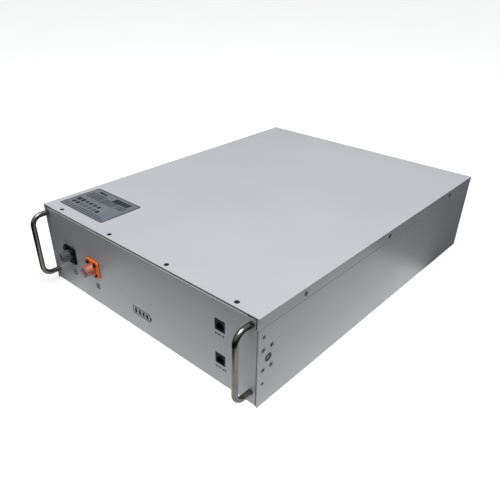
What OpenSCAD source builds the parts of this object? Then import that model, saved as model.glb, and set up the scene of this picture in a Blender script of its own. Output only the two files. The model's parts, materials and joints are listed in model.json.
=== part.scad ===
// Rack battery pack, 3U high: a folded steel case with two U handles, two capped
// power receptacles and two data jacks on its front, and sixteen prismatic cells,
// a battery management board, a fuse and their wiring inside.
// Millimetres. +Z is up, the front faces -Y, and the origin is the centre of the underside.

/* [Case] */
// Width of the case across its sides
case_w = 440; // [438:1:446]
// Depth of the case from the front face to the back face
case_d = 570; // [568:1:600]
// Height of the case
case_h = 133; // [132:0.5:135]
// Thickness of the folded steel sheet
sheet = 1.2; // [1:0.1:1.4]
// Thickness of the front panel
panel_t = 1.5; // [1.2:0.1:1.8]
// Height of the cover's side and rear flanges
flange_h = 16; // [14:0.5:18]
// Gap of the seams between two sheets
seam = 0.8; // [0.3:0.1:0.8]
// Gap between the front panel's bottom edge and the surface under the case
panel_lift = 1.3; // [1.3:0.1:2]

/* [Handles] */
// Diameter of the handle rod
handle_rod_d = 8; // [6:0.5:10]
// Distance between the two feet of a handle
handle_pitch = 101; // [90:1:104]
// Height of the handle's middle above the underside
handle_z = 71.5; // [68:0.5:74]
// Distance from the front face to the middle of the grip
handle_reach = 28; // [24:0.5:40]
// Distance from the case's middle plane to each handle
handle_x = 210; // [200:1:211]
// Bend radius at the middle of the rod
handle_bend_r = 15; // [10:1:20]

/* [Power receptacles] */
// Place of the negative receptacle across the front
negative_x = -162; // [-170:1:-150]
// Place of the positive receptacle across the front
positive_x = -101; // [-120:1:-90]
// Height of both receptacles
receptacle_z = 66; // [60:1:80]
// Side of the square flange
receptacle_side = 28; // [26:0.5:30]
// Distance between the flange's screws
receptacle_pitch = 18; // [17:0.5:19]
// Thickness of the flange
receptacle_flange_t = 2.8; // [2:0.1:4]
// Outer diameter of the barrel that the cap covers
barrel_d = 14.8; // [13:0.2:15]
// Outer diameter of the dust cap
cap_d = 17.2; // [16.8:0.2:18]
// Distance from the front face to the tip of the dust cap
cap_tip = 19; // [18:0.5:24]

/* [Data jacks] */
// Place of both jacks across the front
jack_x = 160; // [150:0.5:164]
// Height of the upper jack
jack_upper_z = 93.5; // [90:0.5:98]
// Height of the lower jack
jack_lower_z = 42; // [40:0.5:60]
// Width of the panel opening around a jack
jack_window_w = 17; // [15:0.1:17.6]
// Height of the panel opening around a jack
jack_window_h = 17.4; // [15:0.1:17.6]

/* [Ear fixings] */
// Distance from the front face to the middle of the ear hole pattern
ear_back = 16.5; // [15:0.5:18]
// Height of the middle of the ear hole pattern
ear_z = 69.5; // [66:0.5:72]
// Hole spacing along the depth
ear_pitch_y = 15; // [14:0.5:15]
// Hole spacing along the height
ear_pitch_z = 30; // [28:1:32]
// Thread diameter of the ear rivet nuts
ear_thread_d = 4; // [3:0.5:4]

/* [Cells] */
// Width of one cell
cell_w = 160; // [150:1:160]
// Thickness of one cell
cell_t = 50; // [45:1:50]
// Height of a cell's can, without its terminals
cell_can_h = 115; // [100:1:115]
// Cells in each of the two rows
row_cells = 8; // [8]

/* [Hidden] */
cell_count = 2 * row_cells;
function cell_name(i) = str("cell_", i < 10 ? "0" : "", i);
$fn = 48;
eps = 0.01;

// Directions: each turns a shape that points along +Z
UP = [0, 0, 0];
FRONT = [90, 0, 0];
REAR = [-90, 0, 0];
RIGHT = [0, 90, 0];
LEFT = [0, -90, 0];

// Case planes
half_w = case_w / 2;
front_y = -case_d / 2;
back_y = case_d / 2;
panel_back_y = front_y + panel_t;
cover_under_z = case_h - sheet;
flange_bottom_z = case_h - flange_h;
wall_top_z = flange_bottom_z - seam;
slip = 0.2;
inner_half_w = half_w - sheet - slip;
inner_back_y = back_y - sheet - slip;
lip_front_y = front_y + 4;
lip_top_z = cover_under_z - 0.5;
floor_front_y = front_y + 2.4;

// Cover screws
cover_screw_head_r = 3.5;
cover_screw_neck_r = 1.9;
cover_screw_shank_r = 1.5;
cover_screw_len = 8;
tapped_r = 1.6;
collar_r = 3;
collar_h = 2;
cover_front_screw_y = front_y + 8;
cover_front_screw_x = [-180, -60, 60, 180];
cover_side_screw_y = [-200, 0, 200];
cover_screw_z = case_h - 8.5;

// Front panel folds
fold_r = 2.2;
fold_depth = 17;
side_return_depth = 31;
side_return_top_z = wall_top_z - sheet - 1;
panel_top_z = cover_under_z - 1;
corner_slot_w = 2;
corner_step = 1.6;
cover_return_w = 3.1;
panel_upper_half_w = half_w - cover_return_w - corner_slot_w;
corner_r = 2;
panel_flat_half_w = inner_half_w - corner_r;
relief_r = 2;
relief_x = 204.6;
relief_drop = 0.5;
pilot_r = 1.2;
pilot_x = half_w - 2;
pilot_z = 20.6;
panel_screw_back = 9.3;
panel_screw_z = [33.5, 103.5];
panel_screw_head_r = 2.5;

// Ear fixings
ear_y = front_y + ear_back;
ear_spots = [for (dy = [-1, 1], dz = [-1, 1]) [ear_y + dy * ear_pitch_y / 2, ear_z + dz * ear_pitch_z / 2]];
rivet_flange_r = 3.8;
rivet_flange_t = 0.8;
rivet_body_r = 2.9;
rivet_len = 9;
bush_r = 6;
bush_y = front_y + 18.2;
bush_len = 6;

// Handles
handle_rod_r = handle_rod_d / 2;
handle_grip_y = front_y - handle_reach;
handle_screw_r = 2;
handle_screw_depth = 10;

// Power receptacles
gasket_t = 0.6;
receptacle_body_r = 9.3;
function flange_spots(x) = [for (dx = [-1, 1], dz = [-1, 1])
    [x + dx * receptacle_pitch / 2, receptacle_z + dz * receptacle_pitch / 2]];
panel_bore_r = 9.6;
flange_face_y = front_y - gasket_t - receptacle_flange_t;
barrel_r = barrel_d / 2;
barrel_bore_r = 5.6;
barrel_tip_y = front_y - cap_tip + 3;
receptacle_rear_y = front_y + 9;
contact_r = 3;
contact_collar_r = 4.5;
stud_r = 4;
stud_tip_y = front_y + 30;
fit_gap = 0.05;
cap_r = cap_d / 2;
cap_wall = 0.9;
cap_front_wall = 1.1;
cap_dish = 1.7;
m3_r = 1.45;
m3_hole_r = 1.6;
m3_head_r = 2.8;
m3_head_h = 1.6;
socket_head_h = 2.6;

// Data jacks
jack_w = jack_window_w - 2 * slip;
jack_h = jack_window_h - 2 * slip;
jack_len = 18;
jack_front_y = front_y + 0.3;
jack_back_y = jack_front_y + jack_len;
jack_plug_w = 11.8;
jack_plug_h = 8;
jack_plug_drop = 6.6;
jack_cavity_depth = 13;
jack_latch_w = 6;
jack_latch_h = 2.6;
contact_count = 8;
contact_pitch = 1.02;
comms_t = 1.6;
comms_x0 = 94;
comms_x1 = 180;
comms_z0 = 28;
comms_z1 = 110;
comms_post_x = [99, 175];
comms_post_z = [33, 105];
ribbon_z = 54;

// Cell block
block_gap = 0.8;
row_gap = 5;
row_x = (cell_w + row_gap) / 2;
floor_sheet_t = 1.5;
cell_z0 = sheet + floor_sheet_t + 0.1;
cell_top_z = cell_z0 + cell_can_h;
terminal_h = 3;
terminal_r = 9;
terminal_dx = cell_w / 2 - 22;
busbar_t = 2;
busbar_z = cell_top_z + terminal_h;
busbar_w = 22;
end_plate_t = 8;
block_back_y = back_y - 15;
cell_pitch = cell_t + block_gap;
first_cell_y = block_back_y - end_plate_t - block_gap - cell_t / 2 - (row_cells - 1) * cell_pitch;
block_front_y = first_cell_y - cell_t / 2 - block_gap - end_plate_t;
block_half_w = row_x + cell_w / 2;
end_plate_h = 124;
rail_t = 2;
rail_foot = 24;
rail_h = 96;
cover_sheet_t = 1;
function cell_y(k) = first_cell_y + k * cell_pitch;

// Battery management board
bms_x0 = -95;
bms_x1 = 115;
bms_y1 = block_front_y - 10;
bms_y0 = bms_y1 - 80;
bms_deck_z = 20;
bms_board_z = 27.5;
board_t = 1.6;
bms_post_inset = 6;
bms_header_back = 10;
bms_posts = [for (x = [bms_x0 + bms_post_inset, bms_x1 - bms_post_inset],
                  y = [bms_y0 + bms_post_inset, bms_y1 - bms_post_inset]) [x, y]];
transistor_count = 12;
transistor_h = 4.4;
heatsink_x0 = -72;
heatsink_y0 = bms_y0 + 34;
heatsink_len = 150;
heatsink_w = 28;
heatsink_base = 5;
fin_count = 8;
fin_h = 15;
fin_t = 1.4;

// Power path
link_w = 16;
link_t = 2;
link_y = block_front_y - 6;
terminal_y = first_cell_y;
fuse_z = 98;
fuse_x0 = 24.5;
fuse_len = 84;
shunt_z = bms_board_z + board_t;
shunt_w = 14;
cable_r = 4.5;
lug_hole_r = 4.2;
cable_sides = 12;

// Routes of the two power cables, from lug barrel to lug barrel
positive_route = [[126.6, -167.4, 98], [136, -169, 98], [145, -181, 97], [143, -199, 95], [128, -212, 93],
                  [100, -216, 92], [50, -217, 91], [0, -217, 90], [-50, -216, 88], [-84, -212, 83],
                  [-98, -214, 75], [-101, -226, 68], [-101, -242, 66]];
negative_route = [[-115.2, -205, 34.3], [-128, -205, 35], [-144, -208, 41], [-157, -214, 52],
                  [-162, -226, 63], [-162, -242, 66]];

// ---------- shared shapes ----------

module place(position, direction) {
    translate(position) rotate(direction) children();
}

// A box given by its lowest and highest corners
module block(low, high) {
    translate(low) cube(high - low);
}

module mirrored_pair() {
    children();
    mirror([1, 0, 0]) children();
}

module rounded_plate_2d(w, h, r) {
    square([w - 2 * r, h], center = true);
    square([w, h - 2 * r], center = true);
    for (sx = [-1, 1], sz = [-1, 1]) translate([sx * (w / 2 - r), sz * (h / 2 - r)]) circle(r);
}

// Cross recess cut into a screw head whose top is at z = 0
module cross_recess(length, width, depth) {
    for (turn = [0, 90]) rotate([0, 0, turn])
        translate([-length / 2, -width / 2, -depth]) cube([length, width, depth + 1]);
}

// Countersunk screw with its head flush at z = 0
module countersunk_screw(head_r, neck_r, head_h, shank_r, length) {
    difference() {
        union() {
            translate([0, 0, -head_h]) cylinder(h = head_h, r1 = neck_r, r2 = head_r);
            translate([0, 0, -length]) cylinder(h = length - head_h + eps, r = shank_r);
        }
        cross_recess(head_r * 1.1, head_r * 0.26, head_h * 0.8);
    }
}

// Pan head screw whose head stands on z = 0
module pan_screw(head_r, head_h, shank_r, length) {
    difference() {
        union() {
            cylinder(h = head_h * 0.6, r = head_r);
            translate([0, 0, head_h * 0.6 - eps]) cylinder(h = head_h * 0.4, r1 = head_r, r2 = head_r * 0.72);
            translate([0, 0, -length]) cylinder(h = length + eps, r = shank_r);
        }
        translate([0, 0, head_h]) cross_recess(head_r * 1.1, head_r * 0.26, head_h * 0.6);
    }
}

// Socket head cap screw whose head stands on z = 0
module socket_screw(head_r, head_h, shank_r, length) {
    difference() {
        union() {
            cylinder(h = head_h, r = head_r);
            translate([0, 0, -length]) cylinder(h = length + eps, r = shank_r);
        }
        translate([0, 0, head_h * 0.4]) cylinder(h = head_h, r = head_r * 0.56, $fn = 6);
    }
}

// Points of a smooth curve through hand-placed points
function spline_point(a, b, c, d, t) =
    0.5 * (2 * b + (c - a) * t + (2 * a - 5 * b + 4 * c - d) * t * t + (3 * b - a - 3 * c + d) * t * t * t);
function spline(p, steps) = concat(
    [for (i = [0:len(p) - 2], j = [0:steps - 1])
        spline_point(p[max(i - 1, 0)], p[i], p[i + 1], p[min(i + 2, len(p) - 1)], j / steps)],
    [p[len(p) - 1]]);
function unit(v) = v / norm(v);
function tangent(p, i) = unit(p[min(i + 1, len(p) - 1)] - p[max(i - 1, 0)]);

// Round tube along a route, closed at both ends
module tube_along(route, radius, sides) {
    path = spline(route, 3);
    rings = len(path);
    points = [for (i = [0:rings - 1])
        let (t = tangent(path, i), u = unit(cross(t, [0, 0, 1] + [0.02, 0.01, 0])), v = cross(u, t))
        for (k = [0:sides - 1]) path[i] + radius * (cos(360 * k / sides) * u + sin(360 * k / sides) * v)];
    walls = [for (i = [0:rings - 2], k = [0:sides - 1])
        [i * sides + k, i * sides + (k + 1) % sides, (i + 1) * sides + (k + 1) % sides, (i + 1) * sides + k]];
    ends = [[for (k = [0:sides - 1]) sides - 1 - k], [for (k = [0:sides - 1]) (rings - 1) * sides + k]];
    polyhedron(points = points, faces = concat(walls, ends), convexity = 8);
}

// Ring lug: the tongue's hole is at the origin, its barrel runs along +X
module ring_lug(tongue_r, hole_r, reach) {
    thickness = 2;
    barrel_len = 10;
    difference() {
        union() {
            cylinder(h = thickness, r = tongue_r);
            translate([0, -tongue_r * 0.8, 0]) cube([reach, tongue_r * 1.6, thickness]);
        }
        translate([0, 0, -1]) cylinder(h = thickness + 2, r = hole_r);
    }
    translate([reach, 0, cable_r + 0.6]) rotate(RIGHT) cylinder(h = barrel_len, r = cable_r + 0.6);
}

// ---------- case ----------

// Floor, two sides and back, folded from one sheet, with a lip stepped in under the cover's flanges
module chassis_tray() {
    color("gainsboro") difference() {
        union() {
            block([-half_w, floor_front_y, 0], [half_w, back_y, sheet]);
            mirrored_pair() {
                block([half_w - sheet, front_y, 0], [half_w, back_y, wall_top_z]);
                block([inner_half_w - sheet, lip_front_y, wall_top_z - sheet], [half_w, back_y, wall_top_z]);
                block([inner_half_w - sheet, lip_front_y, wall_top_z - sheet],
                      [inner_half_w, inner_back_y, lip_top_z]);
                for (y = cover_side_screw_y)
                    place([inner_half_w - sheet + eps, y, cover_screw_z], LEFT)
                        cylinder(h = collar_h, r = collar_r);
            }
            block([-half_w, back_y - sheet, 0], [half_w, back_y, wall_top_z]);
            block([-half_w, inner_back_y - sheet, wall_top_z - sheet], [half_w, back_y, wall_top_z]);
            block([-inner_half_w, inner_back_y - sheet, wall_top_z - sheet],
                  [inner_half_w, inner_back_y, lip_top_z]);
            for (x = cover_front_screw_x)
                place([x, inner_back_y - sheet + eps, cover_screw_z], FRONT)
                    cylinder(h = collar_h, r = collar_r);
        }
        mirrored_pair() {
            for (y = cover_side_screw_y)
                place([half_w - 8, y, cover_screw_z], RIGHT) cylinder(h = 20, r = tapped_r);
            for (spot = ear_spots) {
                place([half_w - 5, spot[0], spot[1]], RIGHT) cylinder(h = 10, r = rivet_body_r + 0.1);
                place([half_w - rivet_flange_t, spot[0], spot[1]], RIGHT)
                    cylinder(h = 5, r = rivet_flange_r + 0.1);
            }
            place([half_w - 5, bush_y, ear_z], RIGHT) cylinder(h = 10, r = bush_r + 0.1);
            for (z = panel_screw_z)
                place([half_w - sheet, front_y + panel_screw_back, z], RIGHT)
                    cylinder(h = sheet + eps, r1 = m3_hole_r, r2 = panel_screw_head_r + 0.1);
        }
        for (x = cover_front_screw_x)
            place([x, back_y - 8, cover_screw_z], REAR) cylinder(h = 20, r = tapped_r);
    }
}

// Flat top with a flange down each side and the back; each side flange returns round the front corner
module top_cover() {
    color("lightgrey") difference() {
        union() {
            block([-half_w, front_y, cover_under_z], [half_w, back_y, case_h]);
            mirrored_pair() {
                block([half_w - sheet, front_y, flange_bottom_z], [half_w, back_y, case_h]);
                block([half_w - cover_return_w, front_y, flange_bottom_z], [half_w, front_y + sheet, case_h]);
            }
            block([-half_w, back_y - sheet, flange_bottom_z], [half_w, back_y, case_h]);
        }
        for (x = cover_front_screw_x)
            place([x, cover_front_screw_y, cover_under_z - eps], UP)
                cylinder(h = sheet + 2 * eps, r1 = cover_screw_neck_r + 0.1, r2 = cover_screw_head_r + 0.1);
        mirrored_pair() for (y = cover_side_screw_y)
            place([half_w - sheet - eps, y, cover_screw_z], RIGHT)
                cylinder(h = sheet + 2 * eps, r1 = cover_screw_neck_r + 0.1, r2 = cover_screw_head_r + 0.1);
        for (x = cover_front_screw_x)
            place([x, back_y - sheet - eps, cover_screw_z], REAR)
                cylinder(h = sheet + 2 * eps, r1 = cover_screw_neck_r + 0.1, r2 = cover_screw_head_r + 0.1);
    }
}

// Fold at one end of the panel's web, in the YZ plane; flip 1 turns it upside down
module panel_fold(z, flip) {
    translate([front_y, z]) mirror([0, flip]) {
        translate([fold_r, 0]) square([fold_depth - fold_r, panel_t]);
        intersection() {
            translate([fold_r, fold_r]) difference() {
                circle(fold_r);
                circle(fold_r - panel_t);
            }
            square([fold_r, fold_r]);
        }
    }
}

// Length of panel across the front, from a section in the YZ plane
module across_front(half_width) {
    translate([-half_width, 0, 0]) rotate([90, 0, 90]) linear_extrude(2 * half_width) children();
}

// Front panel with its folds, side returns and all its openings
module front_panel() {
    web_bottom_z = panel_lift + fold_r;
    color("silver") difference() {
        union() {
            across_front(panel_flat_half_w) {
                translate([front_y, web_bottom_z]) square([panel_t, wall_top_z - web_bottom_z]);
                panel_fold(panel_lift, 0);
            }
            across_front(panel_upper_half_w) {
                translate([front_y, wall_top_z - 1]) square([panel_t, panel_top_z - fold_r - wall_top_z + 1]);
                panel_fold(panel_top_z, 1);
            }
            mirrored_pair() {
                intersection() {
                    translate([panel_flat_half_w, front_y + corner_r, panel_lift]) difference() {
                        cylinder(h = wall_top_z - panel_lift, r = corner_r);
                        translate([0, 0, -1]) cylinder(h = case_h, r = corner_r - panel_t);
                    }
                    block([panel_flat_half_w - eps, front_y, 0],
                          [inner_half_w, front_y + corner_r + eps, case_h]);
                }
                block([inner_half_w - panel_t, front_y + corner_r, panel_lift + fold_r],
                      [inner_half_w, front_y + side_return_depth, side_return_top_z]);
            }
            for (x = cover_front_screw_x)
                place([x, cover_front_screw_y, panel_top_z - panel_t - collar_h + eps], UP)
                    cylinder(h = collar_h, r = collar_r);
        }
        for (x = cover_front_screw_x)
            place([x, cover_front_screw_y, panel_top_z - 10], UP) cylinder(h = 20, r = tapped_r);
        mirrored_pair() {
            for (dz = [-1, 1]) place([handle_x, panel_back_y + 1, handle_z + dz * handle_pitch / 2], FRONT)
                cylinder(h = 5, r = handle_screw_r + 0.2);
            for (spot = ear_spots)
                place([half_w - 8, spot[0], spot[1]], RIGHT) cylinder(h = 7, r = rivet_body_r + 0.1);
            place([half_w - 8, bush_y, ear_z], RIGHT) cylinder(h = 7, r = bush_r + 0.1);
            for (z = panel_screw_z)
                place([half_w - 8, front_y + panel_screw_back, z], RIGHT) cylinder(h = 7, r = m3_hole_r);
            place([relief_x, front_y + 6, panel_top_z - relief_drop], FRONT) cylinder(h = 10, r = relief_r);
            block([relief_x, front_y - 1, panel_top_z - corner_step], [half_w, front_y + 6, case_h]);
            place([pilot_x, front_y + 5, pilot_z], FRONT) cylinder(h = 8, r = pilot_r);
        }
        for (x = [negative_x, positive_x]) {
            place([x, panel_back_y + 1, receptacle_z], FRONT) cylinder(h = 5, r = panel_bore_r);
            for (spot = flange_spots(x)) place([spot[0], panel_back_y + 1, spot[1]], FRONT)
                cylinder(h = 5, r = m3_hole_r);
        }
        for (z = [jack_upper_z, jack_lower_z])
            block([jack_x - jack_window_w / 2, front_y - 1, z - jack_window_h / 2],
                  [jack_x + jack_window_w / 2, panel_back_y + 1, z + jack_window_h / 2]);
        for (x = comms_post_x, z = comms_post_z)
            place([x, panel_back_y + 1, z], FRONT) cylinder(h = 2, r = m3_hole_r);
    }
}

module cover_screw() {
    countersunk_screw(cover_screw_head_r, cover_screw_neck_r, sheet, cover_screw_shank_r, cover_screw_len);
}

module cover_front_screws() {
    color("midnightblue") for (x = cover_front_screw_x)
        place([x, cover_front_screw_y, case_h], UP) cover_screw();
}

module cover_flange_screws() {
    color("dimgrey") {
        mirrored_pair() for (y = cover_side_screw_y)
            place([half_w, y, cover_screw_z], RIGHT) cover_screw();
        for (x = cover_front_screw_x)
            place([x, back_y, cover_screw_z], REAR) cover_screw();
    }
}

module front_panel_screws() {
    color("dimgrey") mirrored_pair() for (z = panel_screw_z)
        place([half_w, front_y + panel_screw_back, z], RIGHT)
            countersunk_screw(panel_screw_head_r, m3_r, sheet, m3_r, 7);
}

// Four threaded inserts on each side, flush with the sheet, for the rack ears
module ear_rivet_nuts() {
    color("silver") mirrored_pair() for (spot = ear_spots) difference() {
        union() {
            place([half_w - rivet_flange_t, spot[0], spot[1]], RIGHT)
                cylinder(h = rivet_flange_t, r = rivet_flange_r);
            place([half_w - rivet_len, spot[0], spot[1]], RIGHT)
                cylinder(h = rivet_len - 0.5, r = rivet_body_r);
        }
        place([half_w - rivet_len - 1, spot[0], spot[1]], RIGHT)
            cylinder(h = rivet_len + 2, r = ear_thread_d / 2);
    }
}

// Locating bush in the middle of each ear pattern: a ring around a raised centre
module side_bushes() {
    groove_outer_r = 4.5;
    groove_inner_r = 2.2;
    groove_depth = 0.7;
    color("dimgrey") mirrored_pair() difference() {
        place([half_w - bush_len, bush_y, ear_z], RIGHT) cylinder(h = bush_len - 0.1, r = bush_r);
        place([half_w - groove_depth, bush_y, ear_z], RIGHT) difference() {
            cylinder(h = groove_depth + 1, r = groove_outer_r);
            translate([0, 0, -1]) cylinder(h = groove_depth + 3, r = groove_inner_r);
        }
    }
}

// ---------- handles ----------

// U handle bent from round rod, with a tapped hole in each foot
module handle(x) {
    straight = handle_reach - handle_bend_r;
    grip = handle_pitch - 2 * handle_bend_r;
    color("lightslategrey") translate([x, 0, handle_z]) difference() {
        union() {
            place([0, handle_grip_y, -grip / 2], UP) cylinder(h = grip, r = handle_rod_r);
            for (end = [0, 1]) mirror([0, 0, end]) {
                place([0, front_y, handle_pitch / 2], FRONT) cylinder(h = straight, r = handle_rod_r);
                translate([0, handle_grip_y + handle_bend_r, grip / 2])
                    rotate([90, 0, -90]) rotate_extrude(angle = 90)
                        translate([handle_bend_r, 0]) circle(handle_rod_r);
            }
        }
        for (dz = [-1, 1]) place([0, front_y + 1, dz * handle_pitch / 2], FRONT)
            cylinder(h = handle_screw_depth + 2, r = handle_screw_r + 0.1);
    }
}

module handle_left() {
    handle(-handle_x);
}

module handle_right() {
    handle(handle_x);
}

// Screws through the panel into the feet of the handles
module handle_screws() {
    color("silver") mirrored_pair() for (dz = [-1, 1])
        place([handle_x, panel_back_y, handle_z + dz * handle_pitch / 2], REAR)
            pan_screw(3.8, 2.6, handle_screw_r, panel_t + handle_screw_depth - 0.5);
}

// ---------- power receptacles ----------

// Square flange and body, with a hollow barrel in front
module receptacle(x) {
    flange_back_y = front_y - gasket_t;
    difference() {
        union() {
            place([x, flange_back_y, receptacle_z], FRONT)
                linear_extrude(receptacle_flange_t) rounded_plate_2d(receptacle_side, receptacle_side, 3);
            place([x, receptacle_rear_y, receptacle_z], FRONT)
                cylinder(h = receptacle_rear_y - flange_back_y + eps, r = receptacle_body_r);
            place([x, flange_face_y + eps, receptacle_z], FRONT)
                cylinder(h = flange_face_y - barrel_tip_y + eps, r = barrel_r);
        }
        place([x, flange_face_y - 0.6, receptacle_z], FRONT) cylinder(h = 30, r = barrel_bore_r);
        place([x, front_y + 20, receptacle_z], FRONT) cylinder(h = 40, r = contact_r + fit_gap);
        place([x, front_y + 20, receptacle_z], FRONT) cylinder(h = 21, r = contact_collar_r + fit_gap);
        for (spot = flange_spots(x)) place([spot[0], front_y, spot[1]], FRONT)
            cylinder(h = 8, r = m3_hole_r);
    }
}

module negative_receptacle() {
    color([0.05, 0.05, 0.06]) receptacle(negative_x);
}

module positive_receptacle() {
    color([0.95, 0.38, 0.05]) receptacle(positive_x);
}

// Contact pins with a rear stud, each with its nut
module receptacle_pins() {
    color("silver") for (x = [negative_x, positive_x]) {
        place([x, front_y + 1, receptacle_z], FRONT) cylinder(h = cap_tip - 3, r = contact_r);
        place([x, receptacle_rear_y, receptacle_z], FRONT)
            cylinder(h = receptacle_rear_y - front_y + 1 - 0.05, r = contact_collar_r);
        place([x, stud_tip_y, receptacle_z], FRONT)
            cylinder(h = stud_tip_y - receptacle_rear_y + 1, r = stud_r);
        place([x, receptacle_rear_y + 9, receptacle_z], FRONT) difference() {
            cylinder(h = 5, r = 7, $fn = 6);
            translate([0, 0, -1]) cylinder(h = 7, r = stud_r + fit_gap);
        }
    }
}

module receptacle_gaskets() {
    color("black") for (x = [negative_x, positive_x])
        difference() {
            place([x, front_y, receptacle_z], FRONT) linear_extrude(gasket_t)
                rounded_plate_2d(receptacle_side, receptacle_side, 3);
            place([x, front_y + 1, receptacle_z], FRONT) cylinder(h = gasket_t + 2, r = panel_bore_r);
            for (spot = flange_spots(x)) place([spot[0], front_y + 1, spot[1]], FRONT)
                cylinder(h = gasket_t + 2, r = m3_hole_r);
        }
}

module receptacle_screws() {
    color("silver") for (x = [negative_x, positive_x], spot = flange_spots(x))
        place([spot[0], flange_face_y, spot[1]], FRONT) socket_screw(m3_head_r, socket_head_h, m3_r, 10);
}

// Push-on cap with a dished front end
module dust_cap(x) {
    back_y = flange_face_y - 0.3;
    tip_y = front_y - cap_tip;
    bore_tip_y = tip_y + cap_dish + cap_front_wall;
    difference() {
        place([x, back_y, receptacle_z], FRONT) cylinder(h = back_y - tip_y, r = cap_r);
        place([x, back_y + 1, receptacle_z], FRONT)
            cylinder(h = back_y + 1 - bore_tip_y, r = cap_r - cap_wall);
        place([x, tip_y + cap_dish, receptacle_z], FRONT) cylinder(h = cap_dish + 1, r = cap_r - 1.8);
    }
}

module negative_dust_cap() {
    color([0.6, 0.62, 0.68, 0.6]) dust_cap(negative_x);
}

module positive_dust_cap() {
    color([0.9, 0.6, 0.55, 0.6]) dust_cap(positive_x);
}

// ---------- data jacks ----------

// Eight-way modular jack, open at the front, with a slot for the plug's latch
module data_jack(z) {
    plug_bottom_z = z - jack_plug_drop;
    plug_top_z = plug_bottom_z + jack_plug_h;
    color([0.08, 0.08, 0.09]) difference() {
        block([jack_x - jack_w / 2, jack_front_y, z - jack_h / 2],
              [jack_x + jack_w / 2, jack_back_y, z + jack_h / 2]);
        block([jack_x - jack_plug_w / 2, jack_front_y - 1, plug_bottom_z],
              [jack_x + jack_plug_w / 2, jack_front_y + jack_cavity_depth, plug_top_z]);
        block([jack_x - jack_latch_w / 2, jack_front_y - 1, plug_top_z - 1],
              [jack_x + jack_latch_w / 2, jack_front_y + 9, plug_top_z + jack_latch_h]);
    }
}

module data_jack_upper() {
    data_jack(jack_upper_z);
}

module data_jack_lower() {
    data_jack(jack_lower_z);
}

// Eight sloping spring contacts along the bottom of each jack
module jack_contacts() {
    slope = 16;
    wire = 0.4;
    length = 8;
    color("gold") for (z = [jack_upper_z, jack_lower_z], i = [0:contact_count - 1])
        translate([jack_x + (i - (contact_count - 1) / 2) * contact_pitch - wire / 2,
                   jack_front_y + 4, z - jack_plug_drop + 0.4])
            rotate([slope, 0, 0]) cube([wire, length, wire]);
}

// Upright board that carries both jacks, with its cable header on the back
module comms_board() {
    board_front_y = jack_back_y + 0.1;
    board_back_y = board_front_y + comms_t;
    color("darkgreen") difference() {
        union() {
            block([comms_x0, board_front_y, comms_z0], [comms_x1, board_back_y, comms_z1]);
            block([98, board_back_y - eps, ribbon_z - 4], [114, board_back_y + 6, ribbon_z + 2]);
            block([130, board_back_y - eps, 66], [142, board_back_y + 2, 78]);
            block([152, board_back_y - eps, 86], [160, board_back_y + 2, 94]);
            for (x = [122, 134, 166]) place([x, board_back_y - eps, 56], REAR) cylinder(h = 8, r = 3);
        }
        for (x = comms_post_x, z = comms_post_z)
            place([x, jack_back_y + 3, z], FRONT) cylinder(h = 6, r = m3_hole_r);
    }
}

// Flat cable from the jack board down to the management board
module comms_ribbon() {
    start_y = jack_back_y + 0.1 + comms_t + 6.1;
    end_y = bms_y0 + bms_header_back + 4.5;
    foot_z = bms_board_z + board_t + 6.5;
    thickness = 0.9;
    color("slategrey") translate([100, 0, 0]) rotate([90, 0, 90]) linear_extrude(12) polygon([
        [start_y, ribbon_z], [start_y + 4, ribbon_z], [start_y + 7, ribbon_z - 2],
        [end_y, foot_z + 2.5], [end_y, foot_z],
        [end_y - thickness, foot_z], [end_y - thickness, foot_z + 2.1],
        [start_y + 6.5, ribbon_z - 2 - thickness], [start_y + 3.7, ribbon_z - thickness],
        [start_y, ribbon_z - thickness]]);
}

// ---------- battery management ----------

// Bridge-shaped plate on the floor with a foot at each end
module bms_tray() {
    leg_t = 1.5;
    foot_z = sheet + 0.1;
    color("silver") difference() {
        union() {
            block([bms_x0 - 5, bms_y0 - 4, bms_deck_z], [bms_x1 + 5, bms_y1 + 4, bms_deck_z + leg_t]);
            for (end = [[bms_x0 - 5, bms_x0 - 17], [bms_x1 + 5 - leg_t, bms_x1 + 5]]) {
                block([end[0], bms_y0 - 4, foot_z], [end[0] + leg_t, bms_y1 + 4, bms_deck_z + eps]);
                block([end[1], bms_y0 - 4, foot_z], [end[1] + 12 + leg_t, bms_y1 + 4, foot_z + leg_t]);
            }
        }
        for (x = [bms_x0 - 11, bms_x1 + 12], y = [bms_y0 + 10, bms_y1 - 10])
            place([x, y, 0], UP) cylinder(h = 6, r = 2.1);
        for (post = bms_posts)
            place([post[0], post[1], bms_deck_z - 1], UP) cylinder(h = 5, r = m3_hole_r);
    }
}

// Populated board: controller, driver chips, capacitors and connector headers
module bms_board() {
    top_z = bms_board_z + board_t;
    color("darkgreen") difference() {
        union() {
            block([bms_x0, bms_y0, bms_board_z], [bms_x1, bms_y1, top_z]);
            block([98, bms_y0 + bms_header_back, top_z - eps],
                  [114, bms_y0 + bms_header_back + 7, top_z + 6.4]);
            for (x = [-85, 77]) block([x, bms_y1 - 9, top_z - eps], [x + 12, bms_y1 - 3, top_z + 7]);
            block([40, bms_y0 + 14, top_z - eps], [54, bms_y0 + 28, top_z + 1.6]);
            for (x = [62, 74, 86]) block([x, bms_y0 + 20, top_z - eps], [x + 7, bms_y0 + 26, top_z + 1.8]);
            for (x = [-10, 4, 18]) translate([x, bms_y0 + 12, top_z - eps]) cylinder(h = 12, r = 5);
        }
        for (post = bms_posts)
            place([post[0], post[1], bms_board_z - 1], UP) cylinder(h = 5, r = m3_hole_r);
    }
}

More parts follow.
